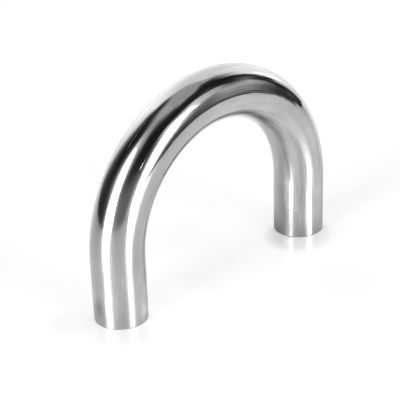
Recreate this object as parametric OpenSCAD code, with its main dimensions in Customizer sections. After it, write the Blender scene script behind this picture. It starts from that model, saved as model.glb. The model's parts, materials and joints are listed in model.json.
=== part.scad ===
// Return bend: one length of round stainless pipe, bent through a half turn on a mandrel,
// with a straight leg left at each end. It stands on its two square-cut, deburred ends.
// Z is up, X runs from leg to leg, and the origin is midway between the legs on the plane of the ends.

/* [Pipe] */
// Outside diameter of the pipe
pipe_od = 42.2; // [20:0.1:90]
// Wall thickness of the pipe
pipe_wall = 2.8; // [1.2:0.1:8]

/* [Bend] */
// Radius of the bend, measured to the pipe's centreline
bend_radius = 101.6; // [60:0.1:300]
// Length of each straight leg, from its cut end to the start of the bend
leg_length = 50.8; // [5:0.1:300]

/* [Cut ends] */
// Width of the bevel that deburring leaves on the outer edge of a cut end
outer_deburr = 0.5; // [0.1:0.05:0.6]
// Width of the bevel that deburring leaves on the inner edge of a cut end
inner_deburr = 0.4; // [0.1:0.05:0.6]

/* [Hidden] */
$fn = 96;
outer_r = pipe_od / 2;
bore_r = outer_r - pipe_wall;
half_turn = 180;

// Wall of a leg beside its axis: a long rectangle with both edges of the cut end broken
module leg_section() {
    polygon([
        [bore_r + inner_deburr, 0],
        [outer_r - outer_deburr, 0],
        [outer_r, outer_deburr],
        [outer_r, leg_length],
        [bore_r, leg_length],
        [bore_r, inner_deburr]
    ]);
}

// Straight leg, standing on its cut end
module leg() {
    rotate_extrude()
        leg_section();
}

// Half turn of pipe, from the top of one leg to the top of the other
module half_turn_bend() {
    translate([0, 0, leg_length])
        rotate([90, 0, 0])
            rotate_extrude(angle = half_turn)
                translate([bend_radius, 0])
                    difference() {
                        circle(r = outer_r);
                        circle(r = bore_r);
                    }
}

// The whole fitting: the legs run into the bend without a seam
module bent_pipe() {
    color("silver")
        union() {
            for (side = [-1, 1])
                translate([side * bend_radius, 0, 0])
                    leg();
            half_turn_bend();
        }
}

bent_pipe();
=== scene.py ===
"""Return bend of polished stainless pipe, standing on its two cut ends on a pale studio floor.

The pipe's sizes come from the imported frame. Its mesh is drawn the way the part was made: a round section
runs up one leg, round a half turn and down the other leg, and the cut ends are then filed.
"""

import json
import logging
import math
from dataclasses import dataclass
from enum import Enum
from typing import Dict, List, Optional, Sequence, Tuple, Union

import bmesh
import bpy
from mathutils import Matrix, Vector


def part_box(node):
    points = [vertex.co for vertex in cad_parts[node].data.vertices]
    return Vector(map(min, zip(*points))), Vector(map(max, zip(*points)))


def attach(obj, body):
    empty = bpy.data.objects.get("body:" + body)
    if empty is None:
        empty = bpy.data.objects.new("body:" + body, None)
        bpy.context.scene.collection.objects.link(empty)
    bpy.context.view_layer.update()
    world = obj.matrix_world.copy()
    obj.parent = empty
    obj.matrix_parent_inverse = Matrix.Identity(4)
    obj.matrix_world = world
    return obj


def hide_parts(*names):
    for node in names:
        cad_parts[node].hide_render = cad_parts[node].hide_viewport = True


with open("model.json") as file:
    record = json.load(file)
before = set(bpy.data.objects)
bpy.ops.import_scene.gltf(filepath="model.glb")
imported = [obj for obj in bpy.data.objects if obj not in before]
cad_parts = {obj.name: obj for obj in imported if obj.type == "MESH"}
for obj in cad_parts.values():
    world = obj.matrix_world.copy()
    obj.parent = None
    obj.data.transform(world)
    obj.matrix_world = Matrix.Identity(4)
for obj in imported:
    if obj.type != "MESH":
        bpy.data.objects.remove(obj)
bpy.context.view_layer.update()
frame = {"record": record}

log = logging.getLogger("return_bend")

MILLIMETRE = 0.001
MICRON = 0.000001
NEAR = 0.01 * MILLIMETRE
STRAIGHT_PIPE = "straight_pipe"

Colour = Tuple[float, float, float, float]
Value = Union[float, Sequence[float], "Signal"]


class Signal:
    """One output of a shader node that takes part in Python arithmetic."""

    def __init__(self, bench: "NodeBench", socket: bpy.types.NodeSocket) -> None:
        """Keep the socket, and the bench that adds the nodes."""
        self.bench = bench
        self.socket = socket

    def __add__(self, other: Value) -> "Signal":
        """Add a value."""
        return self.bench.maths("ADD", self, other)

    def __radd__(self, other: Value) -> "Signal":
        """Add to a value."""
        return self.bench.maths("ADD", other, self)

    def __sub__(self, other: Value) -> "Signal":
        """Take a value away."""
        return self.bench.maths("SUBTRACT", self, other)

    def __rsub__(self, other: Value) -> "Signal":
        """Take away from a value."""
        return self.bench.maths("SUBTRACT", other, self)

    def __mul__(self, other: Value) -> "Signal":
        """Multiply by a value."""
        return self.bench.maths("MULTIPLY", self, other)

    def __rmul__(self, other: Value) -> "Signal":
        """Multiply a value."""
        return self.bench.maths("MULTIPLY", other, self)

    def __abs__(self) -> "Signal":
        """Drop the sign."""
        return self.bench.maths("ABSOLUTE", self)


class NodeBench:
    """A node tree, with one way to add a node to it."""

    def __init__(self, tree: bpy.types.NodeTree) -> None:
        """Start from an empty tree."""
        self.tree = tree
        tree.nodes.clear()

    def add(
        self,
        kind: str,
        settings: Optional[Dict[str, object]] = None,
        inputs: Optional[Dict[Union[str, int], Value]] = None,
        output: Union[str, int] = 0,
    ) -> Optional[Signal]:
        """Add a node.

        Args:
            kind: The node's type.
            settings: Its properties, which are set first.
            inputs: Values or signals for its sockets, by name or number.
            output: The output to hand back.

        Returns:
            The chosen output, or None from a node that has no output.
        """
        node = self.tree.nodes.new(kind)
        for name, value in (settings or {}).items():
            setattr(node, name, value)
        for name, value in (inputs or {}).items():
            self.feed(node.inputs[name], value)
        return Signal(self, node.outputs[output]) if node.outputs else None

    def feed(self, socket: bpy.types.NodeSocket, value: Value) -> None:
        """Link a signal to a socket, or set the socket's own value."""
        if isinstance(value, Signal):
            self.tree.links.new(value.socket, socket)
        else:
            socket.default_value = value

    def maths(self, operation: str, *values: Value) -> Signal:
        """Add a Math node for one operation on values."""
        return self.add("ShaderNodeMath", {"operation": operation}, dict(enumerate(values)))

    def vector_maths(self, operation: str, *vectors: Value) -> Signal:
        """Add a Vector Math node that gives a vector."""
        return self.add("ShaderNodeVectorMath", {"operation": operation}, dict(enumerate(vectors)))

    def measure(self, operation: str, *vectors: Value) -> Signal:
        """Add a Vector Math node that gives a number."""
        return self.add("ShaderNodeVectorMath", {"operation": operation}, dict(enumerate(vectors)), "Value")

    def hypotenuse(self, first: Signal, second: Signal) -> Signal:
        """Give the distance that two offsets at right angles make."""
        return self.maths("SQRT", first * first + second * second)

    def axes(self, vector: Signal) -> Tuple[Signal, ...]:
        """Split a vector into its three axes."""
        first = self.add("ShaderNodeSeparateXYZ", None, {0: vector})
        return tuple(Signal(self, socket) for socket in first.socket.node.outputs)

    def noise(self, vector: Signal, detail: float) -> Signal:
        """Add a noise with cells of size 1 and a value about 0.5."""
        inputs = {"Vector": vector, "Scale": 1.0, "Detail": detail, "Roughness": 0.5}
        return self.add("ShaderNodeTexNoise", {"noise_dimensions": "3D"}, inputs, "Fac")

    def ease(self, value: Signal, start: float, end: float, low: float = 0.0, high: float = 1.0) -> Signal:
        """Ease a value from low at start to high at end, and hold it beyond them."""
        inputs = {"Value": value, "From Min": start, "From Max": end, "To Min": low, "To Max": high}
        return self.add("ShaderNodeMapRange", {"interpolation_type": "SMOOTHSTEP"}, inputs)

    def blend(self, share: Signal, first: Value, second: Value) -> Signal:
        """Mix two colours by a share from 0 to 1."""
        inputs = {"Factor": share, 6: first, 7: second}
        return self.add("ShaderNodeMix", {"data_type": "RGBA"}, inputs, 2)

    def bump(self, height: Signal, distance: float) -> Signal:
        """Turn a height into a normal, where a height of 1 stands distance metres proud."""
        return self.add("ShaderNodeBump", None, {"Strength": 1.0, "Distance": distance, "Height": height})

    def surface(self, inputs: Dict[Union[str, int], Value]) -> None:
        """Finish a material with a Principled shader on the given sockets."""
        shader = self.add("ShaderNodeBsdfPrincipled", None, inputs)
        self.add("ShaderNodeOutputMaterial", None, {"Surface": shader})


def blank_material(name: str) -> Tuple[bpy.types.Material, NodeBench]:
    """Make an empty node material, with the bench that fills it."""
    material = bpy.data.materials.new(name)
    material.use_nodes = True
    return material, NodeBench(material.node_tree)


def grey(value: float) -> Colour:
    """Give a grey of one value."""
    return (value, value, value, 1.0)


@dataclass(frozen=True)
class Grain:
    """A noise that is stretched along the metal, in cells to the metre along it and across it.

    Only the part of its value from start to full counts where it marks a share of the surface.
    """

    along: float
    across: float
    detail: float = 2.0
    start: float = 0.0
    full: float = 1.0

    def value(self, bench: NodeBench, place: Signal) -> Signal:
        """Give the noise itself at a place."""
        cells = bench.vector_maths("MULTIPLY", place, (self.along, self.across, self.across))
        return bench.noise(cells, self.detail)

    def share(self, bench: NodeBench, place: Signal) -> Signal:
        """Give how far a place is marked, from 0 to 1."""
        return bench.ease(self.value(bench, place), self.start, self.full)


@dataclass(frozen=True)
class SatinPatch:
    """A place where the polish is rubbed to a satin, measured on the straight pipe."""

    centre: Tuple[float, float, float]
    reach: Tuple[float, float, float]
    roughness: float
    core: float = 0.3

    def satin(self, bench: NodeBench, place: Signal) -> Signal:
        """Give the roughness that the patch adds at a place.

        Args:
            bench: The material's bench.
            place: The place on the straight pipe.

        Returns:
            The added roughness, which fades out at the patch's reach.
        """
        shift = bench.vector_maths("SUBTRACT", place, self.centre)
        away = bench.measure("LENGTH", bench.vector_maths("DIVIDE", shift, self.reach))
        return bench.ease(away, 1.0, self.core, high=self.roughness)


@dataclass(frozen=True)
class PolishedSteel:
    """Mirror polish on the outside of the pipe, with buffing lines that run along it.

    Places along the pipe are measured from the end of the first leg, where the bend starts.
    """

    name: str = "polished_steel"
    bright: Colour = (0.46, 0.46, 0.465, 1.0)
    dull: Colour = (0.39, 0.39, 0.395, 1.0)
    bloom: Colour = (0.55, 0.55, 0.555, 1.0)
    polish: float = 0.04
    haze_roughness: float = 0.04
    line_roughness: float = 0.08
    scratch_roughness: float = 0.17
    leg_roughness: float = 0.09
    broad_depth: float = 260.0 * MICRON
    fine_depth: float = 40.0 * MICRON
    scratch_depth: float = 22.0 * MICRON
    wave_depth: float = 200.0 * MICRON
    clamp_roughness: float = 0.05
    light_working: float = 0.12
    heavy_working: float = 0.35
    hazy_working: float = 0.45
    leg_dulling_and_shade: float = 0.7
    heavy_start: float = 110.0 * MILLIMETRE
    heavy_full: float = 165.0 * MILLIMETRE
    heavy_side: float = 10.0 * MILLIMETRE
    first_leg: float = 55.0 * MILLIMETRE
    last_leg: float = 300.0 * MILLIMETRE
    first_fade: float = 45.0 * MILLIMETRE
    last_fade: float = 25.0 * MILLIMETRE
    line_start: float = 0.5
    line_full: float = 0.68
    fine_grain: Grain = Grain(20.0, 1500.0)
    broad_grain: Grain = Grain(20.0, 460.0)
    haze_grain: Grain = Grain(22.0, 45.0, 1.0, 0.3, 0.6)
    wave_grain: Grain = Grain(28.0, 55.0, 1.0)
    scratch_grain: Grain = Grain(16.0, 1100.0, 1.0, 0.69, 0.75)
    clamp_grain: Grain = Grain(800.0, 22.0, 2.0, 0.62, 0.7)
    blotch_grain: Grain = Grain(32.0, 70.0, 3.0, 0.36, 0.64)
    patches: Tuple[SatinPatch, ...] = (
        SatinPatch(
            centre=(-100.0 * MILLIMETRE, -12.6 * MILLIMETRE, 16.9 * MILLIMETRE),
            reach=(200.0 * MILLIMETRE, 9.5 * MILLIMETRE, 9.5 * MILLIMETRE),
            roughness=0.1,
        ),
        SatinPatch(
            centre=(420.0 * MILLIMETRE, -9.5 * MILLIMETRE, -18.8 * MILLIMETRE),
            reach=(200.0 * MILLIMETRE, 11.0 * MILLIMETRE, 11.0 * MILLIMETRE),
            roughness=0.1,
        ),
    )

    def material(self) -> bpy.types.Material:
        """Make the material."""
        material, bench = blank_material(self.name)
        place = bench.add("ShaderNodeAttribute", {"attribute_name": STRAIGHT_PIPE}, None, "Vector")
        along, across, _ = bench.axes(place)
        fine = self.fine_grain.value(bench, place)
        broad = self.broad_grain.value(bench, place)
        haze = self.haze_grain.share(bench, place)
        heavy = bench.ease(along, self.heavy_start, self.heavy_full)
        heavy = heavy * bench.ease(across, 0.0, -self.heavy_side)
        working = self.light_working + self.light_working * haze
        working = working + heavy * (self.heavy_working + self.hazy_working * haze)
        lines = bench.ease((fine + broad) * 0.5, self.line_start, self.line_full) * working
        scratches = self.scratch_grain.share(bench, place)
        first_satin = bench.ease(along, self.first_leg, self.first_leg - self.first_fade)
        last_satin = bench.ease(along, self.last_leg, self.last_leg + self.last_fade)
        satin = first_satin + last_satin
        clamp_marks = self.clamp_grain.share(bench, place) * last_satin
        roughness = self.polish + haze * self.haze_roughness + satin * self.leg_roughness
        roughness = roughness + lines * self.line_roughness + scratches * self.scratch_roughness
        roughness = roughness + clamp_marks * self.clamp_roughness
        for patch in self.patches:
            roughness = roughness + patch.satin(bench, place)
        grooves = (broad * self.broad_depth + fine * self.fine_depth) * working
        waves = self.wave_grain.value(bench, place) * self.wave_depth
        height = waves + grooves - scratches * self.scratch_depth
        # The legs' random haze dulls their colour: partly satin rubbing, partly painted shade that stands
        # in for the floor's shade mirrored in them.
        rubbed = haze * satin * self.leg_dulling_and_shade
        worn_and_shaded = bench.maths("MAXIMUM", bench.maths("MAXIMUM", lines, scratches), rubbed)
        blotches = self.blotch_grain.share(bench, place) * heavy
        bench.surface(
            {
                "Base Color": bench.blend(worn_and_shaded, bench.blend(blotches, self.bright, self.bloom), self.dull),
                "Metallic": 1.0,
                "Roughness": roughness,
                "Normal": bench.bump(height, 1.0),
            }
        )
        return material


@dataclass(frozen=True)
class MillBore:
    """Dull drawn surface inside the pipe, as it left the mill."""

    name: str = "mill_bore"
    clean: Colour = (0.42, 0.42, 0.425, 1.0)
    stained: Colour = (0.30, 0.29, 0.28, 1.0)
    smooth: float = 0.34
    coarse: float = 0.5
    line_depth: float = 40.0 * MICRON
    line_grain: Grain = Grain(7.0, 900.0, 3.0)
    stain_grain: Grain = Grain(35.0, 90.0, 4.0, 0.45, 0.75)

    def material(self) -> bpy.types.Material:
        """Make the material."""
        material, bench = blank_material(self.name)
        place = bench.add("ShaderNodeAttribute", {"attribute_name": STRAIGHT_PIPE}, None, "Vector")
        drawn_lines = self.line_grain.value(bench, place)
        stains = self.stain_grain.share(bench, place)
        bench.surface(
            {
                "Base Color": bench.blend(stains, self.clean, self.stained),
                "Metallic": 1.0,
                "Roughness": self.smooth + (self.coarse - self.smooth) * drawn_lines,
                "Normal": bench.bump(drawn_lines, self.line_depth),
            }
        )
        return material


@dataclass(frozen=True)
class SawnEnd:
    """Satin of a sawn pipe end, or of the edge that was filed round it; the filed edge's dark grey is
    painted shade.
    """

    name: str = "sawn_end"
    bright: Colour = grey(0.5)
    dark: Colour = grey(0.38)
    smooth: float = 0.22
    coarse: float = 0.4
    line_depth: float = 30.0 * MICRON
    line_grain: Grain = Grain(60.0, 2500.0)

    def material(self) -> bpy.types.Material:
        """Make the material."""
        material, bench = blank_material(self.name)
        place = bench.add("ShaderNodeTexCoord", None, None, "Object")
        saw_lines = self.line_grain.value(bench, place)
        bench.surface(
            {
                "Base Color": bench.blend(saw_lines, self.bright, self.dark),
                "Metallic": 1.0,
                "Roughness": self.smooth + (self.coarse - self.smooth) * saw_lines,
                "Normal": bench.bump(saw_lines, self.line_depth),
            }
        )
        return material


class Side(Enum):
    """The pipe's surfaces, each with its finish."""

    OUTSIDE = PolishedSteel()
    BORE = MillBore()
    CUT_END = SawnEnd()
    # The filed edges are painted dark: painted shade for the shadowed line where the feet meet the floor,
    # which also falls on the bore's edge.
    FILED_EDGE = SawnEnd(name="shaded_filed_edge", bright=grey(0.18), dark=grey(0.1), smooth=0.4, coarse=0.6)


@dataclass
class BentPipe:
    """The fitting itself: two legs and the half turn between them, in one length of pipe."""

    outer_radius: float
    bore_radius: float
    bend_radius: float
    leg_length: float
    outer_deburr: float = 0.5 * MILLIMETRE
    inner_deburr: float = 0.4 * MILLIMETRE
    sides: int = 180
    leg_rings: int = 14
    bend_rings: int = 240
    bore_leg_rings: int = 4
    bore_bend_rings: int = 90
    deburr_steps: int = 3
    skin: float = 0.05 * MILLIMETRE

    @classmethod
    def from_frame(cls, node: str) -> "BentPipe":
        """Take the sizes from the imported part.

        Args:
            node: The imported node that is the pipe.

        Returns:
            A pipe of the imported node's size.
        """
        low, high = (Vector(corner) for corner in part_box(node))
        size = high - low
        bores = [mount for mount in frame["record"]["mounts"] if mount["kind"] == "bore"]
        outer_radius = size.y / 2
        bend_radius = size.x / 2 - outer_radius
        return cls(
            outer_radius=outer_radius,
            bore_radius=bores[0]["dims"]["r_mm"] * MILLIMETRE,
            bend_radius=bend_radius,
            leg_length=size.z - bend_radius - outer_radius,
        )

    def straightened(self, point: Vector) -> Vector:
        """Find where a point lay before the pipe was bent.

        Args:
            point: A point of the bent pipe.

        Returns:
            The distance along the pipe from the start of the bend, then two offsets from its centreline.
        """
        above = max(point.z - self.leg_length, 0.0)
        below = min(point.z - self.leg_length, 0.0)
        turned = math.atan2(above, -point.x)
        along = turned * self.bend_radius + (below if point.x < 0 else -below)
        return Vector((along, point.y, math.hypot(point.x, above) - self.bend_radius))

    def grow(
        self, shell: bmesh.types.BMesh, ring: List[bmesh.types.BMEdge]
    ) -> Tuple[List[bmesh.types.BMVert], List[bmesh.types.BMEdge]]:
        """Grow a ring of faces from a ring of edges.

        Args:
            shell: The mesh.
            ring: The edges to grow from.

        Returns:
            The corners and the edges of the new ring, which still lies on the old one.
        """
        grown = bmesh.ops.extrude_edge_only(shell, edges=ring)["geom"]
        corners = [part for part in grown if isinstance(part, bmesh.types.BMVert)]
        return corners, [part for part in grown if isinstance(part, bmesh.types.BMEdge)]

    def run_straight(
        self, shell: bmesh.types.BMesh, ring: List[bmesh.types.BMEdge], rise: float, rings: int
    ) -> List[bmesh.types.BMEdge]:
        """Run a ring of edges straight up or down.

        Args:
            shell: The mesh.
            ring: The edges to run on from.
            rise: How far to go, negative for down.
            rings: The number of steps.

        Returns:
            The edges of the last ring.
        """
        for _ in range(rings):
            corners, ring = self.grow(shell, ring)
            bmesh.ops.translate(shell, verts=corners, vec=(0.0, 0.0, rise / rings))
        return ring

    def run_skin(self, shell: bmesh.types.BMesh, radius: float, leg_rings: int, bend_rings: int) -> None:
        """Run a round section up a leg, round the bend and down the other leg.

        Args:
            shell: The mesh.
            radius: The section's radius.
            leg_rings: The number of steps along each leg.
            bend_rings: The number of steps round the bend.
        """
        start = Matrix.Translation((-self.bend_radius, 0.0, 0.0))
        circle = bmesh.ops.create_circle(shell, segments=self.sides, radius=radius, matrix=start)["verts"]
        ring = list({edge for corner in circle for edge in corner.link_edges})
        ring = self.run_straight(shell, ring, self.leg_length, leg_rings)
        turn = bmesh.ops.spin(
            shell,
            geom=ring,
            cent=(0.0, 0.0, self.leg_length),
            axis=(0.0, 1.0, 0.0),
            angle=math.pi,
            steps=bend_rings,
        )
        ring = [part for part in turn["geom_last"] if isinstance(part, bmesh.types.BMEdge)]
        self.run_straight(shell, ring, -self.leg_length, leg_rings)

    def end_ring(self, shell: bmesh.types.BMesh, radius: float, foot: float) -> List[bmesh.types.BMEdge]:
        """Find the edges of a given radius on the plane of a cut end.

        Args:
            shell: The mesh.
            radius: The ring's radius.
            foot: The leg's place along X.

        Returns:
            The ring's edges.
        """
        axis = Vector((foot, 0.0, 0.0))

        def on_ring(corner: bmesh.types.BMVert) -> bool:
            """Tell whether a corner lies on the ring."""
            return abs((corner.co - axis).length - radius) < NEAR and abs(corner.co.z) < NEAR

        return [edge for edge in shell.edges if all(on_ring(corner) for corner in edge.verts)]

    def face_ends(self, shell: bmesh.types.BMesh) -> None:
        """Close the wall at both cut ends, with a flat ring from the outside to the bore."""
        shrink = self.bore_radius / self.outer_radius
        for foot in (-self.bend_radius, self.bend_radius):
            corners, _ = self.grow(shell, self.end_ring(shell, self.outer_radius, foot))
            about = Matrix.Translation((-foot, 0.0, 0.0))
            bmesh.ops.scale(shell, verts=corners, vec=(shrink, shrink, 1.0), space=about)
        bmesh.ops.remove_doubles(shell, verts=shell.verts, dist=NEAR)
        bmesh.ops.recalc_face_normals(shell, faces=shell.faces)

    def file_ends(self, shell: bmesh.types.BMesh, radius: float, width: float) -> None:
        """Break the sharp edges of the cut ends with a small round.

        Args:
            shell: The mesh.
            radius: The edges' radius.
            width: The round's width on each side of an edge.
        """
        feet = (-self.bend_radius, self.bend_radius)
        rounded = bmesh.ops.bevel(
            shell,
            geom=[edge for foot in feet for edge in self.end_ring(shell, radius, foot)],
            offset=width,
            offset_type="OFFSET",
            segments=self.deburr_steps,
            profile=0.5,
            affect="EDGES",
            material=-1,
        )
        new_faces = set(rounded["faces"])
        for face in new_faces:
            face.material_index = list(Side).index(Side.FILED_EDGE)
            for edge in face.edges:
                edge.smooth = all(neighbour in new_faces for neighbour in edge.link_faces)

    def side_of(self, face: bmesh.types.BMFace) -> Side:
        """Tell which surface of the pipe a face belongs to."""
        place = self.straightened(face.calc_center_median())
        radius = math.hypot(place.y, place.z)
        if abs(radius - self.outer_radius) < self.skin:
            return Side.OUTSIDE
        if abs(radius - self.bore_radius) < self.skin:
            return Side.BORE
        return Side.CUT_END

    def build(self) -> bpy.types.Object:
        """Make the pipe's mesh.

        Returns:
            The piece, with its finishes not yet on.
        """
        shell = bmesh.new()
        self.run_skin(shell, self.outer_radius, self.leg_rings, self.bend_rings)
        self.run_skin(shell, self.bore_radius, self.bore_leg_rings, self.bore_bend_rings)
        self.face_ends(shell)
        order = list(Side)
        for face in shell.faces:
            face.smooth = True
            face.material_index = order.index(self.side_of(face))
        self.file_ends(shell, self.outer_radius, self.outer_deburr)
        self.file_ends(shell, self.bore_radius, self.inner_deburr)
        place = shell.verts.layers.float_vector.new(STRAIGHT_PIPE)
        for corner in shell.verts:
            corner[place] = self.straightened(corner.co)
        mesh = bpy.data.meshes.new("polished_bend")
        shell.to_mesh(mesh)
        shell.free()
        piece = bpy.data.objects.new("polished_bend", mesh)
        bpy.context.scene.collection.objects.link(piece)
        return piece

    def dress(self, piece: bpy.types.Object, node: str) -> None:
        """Put the finishes on the piece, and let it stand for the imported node.

        Args:
            piece: The built pipe.
            node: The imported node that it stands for.
        """
        for side in Side:
            piece.data.materials.append(side.value.material())
        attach(piece, "root")
        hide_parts(node)


@dataclass(frozen=True)
class Panel:
    """A lit patch of the studio, as seen from the fitting. Angles are in degrees.

    Swing is the turn to the right of the camera, rise is the height above the horizon, and lean is how far
    the patch swings over for each degree that it rises.
    """

    name: str
    swing: float
    rise: float
    half_width: float
    half_height: float
    glow: float
    side_feather: float
    top_feather: float
    lean: float = 0.0

    def light(
        self, bench: NodeBench, direction: Signal, rise: Signal, before: Value, turn: float
    ) -> Signal:
        """Lay the panel over the light that is already there.

        Args:
            bench: The world's bench.
            direction: The direction looked in.
            rise: That direction's height above the horizon, in degrees.
            before: The light without this panel.
            turn: The camera's own turn about the fitting, in degrees.

        Returns:
            The light with the panel.
        """
        angle = math.radians(turn + self.swing)
        ahead = (math.sin(angle), -math.cos(angle), 0.0)
        rightward = (math.cos(angle), math.sin(angle), 0.0)
        forward = bench.measure("DOT_PRODUCT", direction, ahead)
        sideways = bench.measure("DOT_PRODUCT", direction, rightward)
        swing = bench.maths("DEGREES", bench.maths("ARCTAN2", sideways, forward))
        climb = rise - self.rise
        aside = abs(swing - climb * self.lean)
        widest, tallest = self.half_width + self.side_feather, self.half_height + self.top_feather
        across = bench.ease(aside, widest, self.half_width - self.side_feather)
        share = across * bench.ease(abs(climb), tallest, self.half_height - self.top_feather)
        return bench.maths("POWER", before, 1.0 - share) * bench.maths("POWER", self.glow, share)


@dataclass(frozen=True)
class FloorPatch:
    """A soft patch of light or shade on the floor, seen mirrored in the legs."""

    sideways: float
    across: float
    reach: float
    colour: Colour

    def lay(self, bench: NodeBench, sideways: Signal, across: Signal, before: Signal) -> Signal:
        """Lay the patch over the floor's tone.

        Args:
            bench: The floor's bench.
            sideways: The place on the floor, along X.
            across: The place on the floor, along Y.
            before: The tone without this patch.

        Returns:
            The tone with the patch, which fades out at its reach.
        """
        away = bench.hypotenuse(sideways - self.sideways, across - self.across)
        return bench.blend(bench.ease(away, self.reach, 0.0), before, self.colour)


@dataclass(frozen=True)
class Studio:
    """Dark room with two tall softboxes, a white backdrop, a grey ceiling panel and a glossy pale floor."""

    turn: float
    room_glow: float = 0.016
    power: float = 1.13
    pale: float = 1.0
    floor_left: float = 1600.0 * MILLIMETRE
    floor_right: float = 780.0 * MILLIMETRE
    floor_front: float = 1500.0 * MILLIMETRE
    floor_back: float = 2500.0 * MILLIMETRE
    floor_gap: float = 0.05 * MILLIMETRE
    floor_colour: Colour = grey(0.385)
    # Painted contact shade: the floor's colour darkens round the feet, out to shade_reach.
    contact_shade_colour: Colour = grey(0.3)
    # Painted shade: the far floor dims to this colour, as if its light fell off in the dark room.
    far_shade_colour: Colour = grey(0.03)
    floor_roughness: float = 0.28
    floor_ior: float = 1.5
    # Shares of painted white glow that the camera sees over the floor, which wash out its shadows; thinnest
    # just before the feet.
    floor_lift: float = 0.84
    contact_lift: float = 0.36
    contact_reach: float = 14.0 * MILLIMETRE
    contact_shift: float = 18.0 * MILLIMETRE
    shade_reach: float = 35.0 * MILLIMETRE
    far_start: float = 350.0 * MILLIMETRE
    far_end: float = 800.0 * MILLIMETRE
    dim_start: float = 450.0 * MILLIMETRE
    dim_end: float = 2600.0 * MILLIMETRE
    # Sideways, across, reach and colour
    patches: Tuple[FloorPatch, ...] = (
        FloorPatch(20.0 * MILLIMETRE, 52.0 * MILLIMETRE, 70.0 * MILLIMETRE, grey(0.27)),
        FloorPatch(-138.0 * MILLIMETRE, 22.0 * MILLIMETRE, 26.0 * MILLIMETRE, grey(0.2)),
        FloorPatch(58.0 * MILLIMETRE, -92.0 * MILLIMETRE, 45.0 * MILLIMETRE, grey(0.3)),
        FloorPatch(-68.0 * MILLIMETRE, -34.0 * MILLIMETRE, 50.0 * MILLIMETRE, grey(0.46)),
        FloorPatch(190.0 * MILLIMETRE, -30.0 * MILLIMETRE, 90.0 * MILLIMETRE, grey(0.46)),
        FloorPatch(-78.0 * MILLIMETRE, -14.0 * MILLIMETRE, 26.0 * MILLIMETRE, grey(0.66)),
        FloorPatch(-50.0 * MILLIMETRE, -6.0 * MILLIMETRE, 34.0 * MILLIMETRE, grey(0.6)),
    )
    # Name, swing, rise, half width, half height, glow, side feather, top feather and lean
    panels: Tuple[Panel, ...] = (
        Panel("haze", 0.0, 0.0, 180.0, 28.0, 0.035, 1.0, 16.0),
        Panel("left wall", -122.0, 12.0, 14.0, 26.0, 0.1, 12.0, 15.0),
        Panel("camera wall", -6.0, 3.0, 36.0, 23.0, 0.2, 6.0, 13.0, -0.5),
        Panel("right card's edge", 76.0, 14.0, 11.0, 17.0, 0.16, 8.0, 14.0),
        Panel("right card's foot", 89.0, 2.0, 11.0, 10.0, 0.3, 6.0, 8.0),
        Panel("right card", 99.0, 19.0, 18.0, 12.0, 0.63, 6.0, 13.0, 0.1),
        Panel("right card's far foot", 121.5, -1.5, 5.0, 2.5, 0.12, 4.0, 2.5),
        Panel("right card's gap", 124.0, 9.0, 5.0, 4.0, 0.01, 4.0, 4.0),
        Panel("right spill", 76.0, 35.0, 19.0, 10.5, 0.69, 9.0, 10.0),
        Panel("ceiling", 150.0, 90.0, 180.0, 22.0, 0.61, 1.0, 13.0),
        Panel("ceiling's back edge", 170.0, 74.0, 42.0, 17.0, 0.53, 13.0, 4.0),
        Panel("ceiling's right edge", 99.0, 80.0, 45.0, 15.0, 0.5, 10.0, 2.0),
        Panel("backdrop's bend", 180.0, 40.0, 43.0, 19.0, 1.05, 16.0, 3.0),
        Panel("backdrop", 190.0, 14.0, 45.0, 31.0, 1.1, 13.0, 9.0, 0.3),
        Panel("backdrop's left", 211.0, 24.0, 13.0, 33.0, 1.67, 18.0, 8.0, 0.35),
        Panel("backdrop's right", 149.0, 20.0, 17.3, 28.0, 1.33, 3.0, 18.0, -0.22),
        Panel("backdrop's right edge", 139.0, 14.0, 5.0, 10.0, 1.9, 3.0, 6.0, -0.22),
        Panel("left glow", -44.0, 48.0, 29.0, 32.0, 0.61, 18.0, 18.0, 0.3),
        Panel("left softbox", -50.0, 18.0, 12.0, 34.0, 8.0, 15.0, 18.0),
        Panel("left lamp", -45.8, 20.0, 11.2, 28.0, 45.0, 4.0, 8.0),
        Panel("right glow", 47.0, 17.0, 23.0, 26.0, 1.0, 10.0, 6.0, 0.45),
        Panel("right softbox", 46.0, 15.0, 5.0, 19.5, 8.0, 13.0, 5.5, 0.5),
        Panel("right lamp", 46.2, 15.5, 10.5, 18.0, 45.0, 4.0, 5.5, 0.5),
    )

    def light(self) -> None:
        """Make the surroundings, which the camera itself sees as plain pale."""
        world = bpy.data.worlds.new("studio")
        world.use_nodes = True
        bpy.context.scene.world = world
        bench = NodeBench(world.node_tree)
        direction = bench.add("ShaderNodeTexCoord", None, None, "Generated")
        _, _, upward = bench.axes(direction)
        rise = bench.maths("DEGREES", bench.maths("ARCSINE", upward))
        glow: Value = self.room_glow
        for panel in self.panels:
            glow = panel.light(bench, direction, rise, glow, self.turn)
            log.debug("panel of light: %s", panel.name)
        straight = bench.add("ShaderNodeLightPath", None, None, "Is Camera Ray")
        seen = glow * (1.0 - straight) + straight * self.pale
        sky = bench.add("ShaderNodeBackground", None, {"Color": seen, "Strength": self.power})
        bench.add("ShaderNodeOutputWorld", None, {"Surface": sky})

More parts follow.
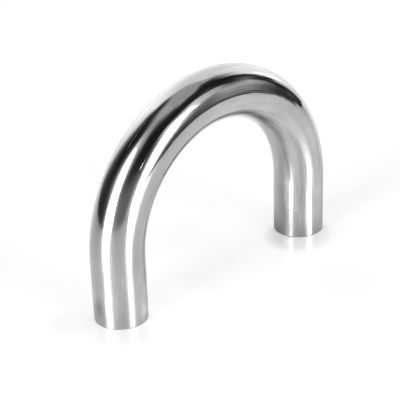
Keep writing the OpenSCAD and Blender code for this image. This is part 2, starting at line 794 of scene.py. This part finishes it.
    def floor_tones(self, bench: NodeBench, pipe: BentPipe) -> Tuple[Signal, Signal]:
        """Work out the floor's colour with its painted light and shade, and the painted white glow that
        stands in for overexposure.

        Args:
            bench: The floor's bench.
            pipe: The pipe that stands on it.

        Returns:
            The floor's colour, with painted shade round the feet, painted patches of light and shade, and
            painted shade that dims it towards the dark room; and the share of painted white glow that the
            camera sees over it, which washes out the floor's shadows: least at the feet, and all of it far
            away.
        """
        place = bench.add("ShaderNodeTexCoord", None, None, "Object")
        sideways, across, _ = bench.axes(place)
        from_foot = bench.hypotenuse(abs(sideways) - pipe.bend_radius, across) - pipe.outer_radius
        from_middle = bench.hypotenuse(sideways, across)
        # Painted contact shade: the floor's colour darkens towards each foot.
        lit = bench.ease(from_foot, 0.0, self.shade_reach)
        colour = bench.blend(lit, self.contact_shade_colour, self.floor_colour)
        # Painted patches of light and shade on the floor, which the legs mirror.
        for patch in self.patches:
            colour = patch.lay(bench, sideways, across, colour)
        # Painted shade: the floor's colour dims far from the fitting, as if the light fell off towards the
        # dark room.
        colour = bench.blend(bench.ease(from_middle, self.dim_start, self.dim_end), colour, self.far_shade_colour)
        turn = math.radians(self.turn)
        beside = abs(sideways - math.sin(turn) * self.contact_shift) - pipe.bend_radius
        ahead = across + math.cos(turn) * self.contact_shift
        before_foot = bench.hypotenuse(beside, ahead) - pipe.outer_radius
        # The painted white glow is thinnest just in front of the feet, so that the floor's shade shows
        # there, and covers everything far away.
        near = bench.ease(before_foot, 0.0, self.contact_reach, self.contact_lift, self.floor_lift)
        far = bench.ease(from_middle, self.far_start, self.far_end, 0.0, 1.0 - self.floor_lift)
        return colour, near + far

    def floor(self, pipe: BentPipe) -> bpy.types.Object:
        """Make the pale floor.

        Args:
            pipe: The pipe that stands on it.

        Returns:
            The floor.
        """
        sheet = bmesh.new()
        half_width = (self.floor_left + self.floor_right) / 2
        half_depth = (self.floor_front + self.floor_back) / 2
        middle = (self.floor_right - half_width, self.floor_back - half_depth, -self.floor_gap)
        size = Matrix.Diagonal((half_width, half_depth, 1.0, 1.0))
        place = Matrix.Rotation(math.radians(self.turn), 4, "Z") @ Matrix.Translation(middle) @ size
        bmesh.ops.create_grid(sheet, x_segments=1, y_segments=1, size=1.0, matrix=place)
        mesh = bpy.data.meshes.new("floor")
        sheet.to_mesh(mesh)
        sheet.free()
        material, bench = blank_material("floor")
        colour, white_glow_share = self.floor_tones(bench, pipe)
        inputs = {"Base Color": colour, "Roughness": self.floor_roughness, "IOR": self.floor_ior}
        sheen = bench.add("ShaderNodeBsdfPrincipled", None, inputs)
        # Painted white glow: camera rays see the floor mixed with white emission, which washes out its
        # shadows.
        white_glow = bench.add("ShaderNodeEmission", None, {"Color": grey(1.0), "Strength": self.pale})
        straight = bench.add("ShaderNodeLightPath", None, None, "Is Camera Ray")
        shader = bench.add("ShaderNodeMixShader", None, {0: straight * white_glow_share, 1: sheen, 2: white_glow})
        bench.add("ShaderNodeOutputMaterial", None, {"Surface": shader})
        mesh.materials.append(material)
        floor = bpy.data.objects.new("floor", mesh)
        bpy.context.scene.collection.objects.link(floor)
        return floor


@dataclass(frozen=True)
class PhotoCamera:
    """The camera at the photograph's viewing angle. Angles are in degrees."""

    turn: float = -43.20
    rise: float = 26.43
    roll: float = -1.98
    distance: float = 1054.6 * MILLIMETRE
    aim: Tuple[float, float, float] = (-14.0 * MILLIMETRE, 0.0, 67.6 * MILLIMETRE)
    lens: float = 119.9
    sensor: float = 36.0
    clip_start: float = 10.0 * MILLIMETRE

    def place(self) -> bpy.types.Object:
        """Set the camera up.

        Returns:
            The scene's camera.
        """
        turn, rise = math.radians(self.turn), math.radians(self.rise)
        level = math.cos(rise)
        back = Vector((math.sin(turn) * level, -math.cos(turn) * level, math.sin(rise)))
        facing = (-back).to_track_quat("-Z", "Y").to_matrix()
        rolled = facing @ Matrix.Rotation(math.radians(self.roll), 3, "Z")
        data = bpy.data.cameras.new("camera")
        data.lens = self.lens
        data.sensor_width = self.sensor
        data.clip_start = self.clip_start
        camera = bpy.data.objects.new("camera", data)
        camera.matrix_world = Matrix.Translation(Vector(self.aim) + back * self.distance) @ rolled.to_4x4()
        bpy.context.scene.collection.objects.link(camera)
        bpy.context.scene.camera = camera
        return camera


def main() -> None:
    """Build the fitting, the studio and the camera."""
    logging.basicConfig(level=logging.INFO, format="%(name)s: %(message)s")
    bpy.context.scene.view_settings.view_transform = "Standard"
    node = "bent_pipe"
    pipe = BentPipe.from_frame(node)
    piece = pipe.build()
    pipe.dress(piece, node)
    log.info("%s: %d faces, bend radius %.4f m", piece.name, len(piece.data.polygons), pipe.bend_radius)
    camera = PhotoCamera()
    log.info("%s: %.1f mm lens", camera.place().name, camera.lens)
    studio = Studio(turn=camera.turn)
    studio.light()
    log.info("%s: %d panels of light", studio.floor(pipe).name, len(studio.panels))


if __name__ == "__main__":
    main()
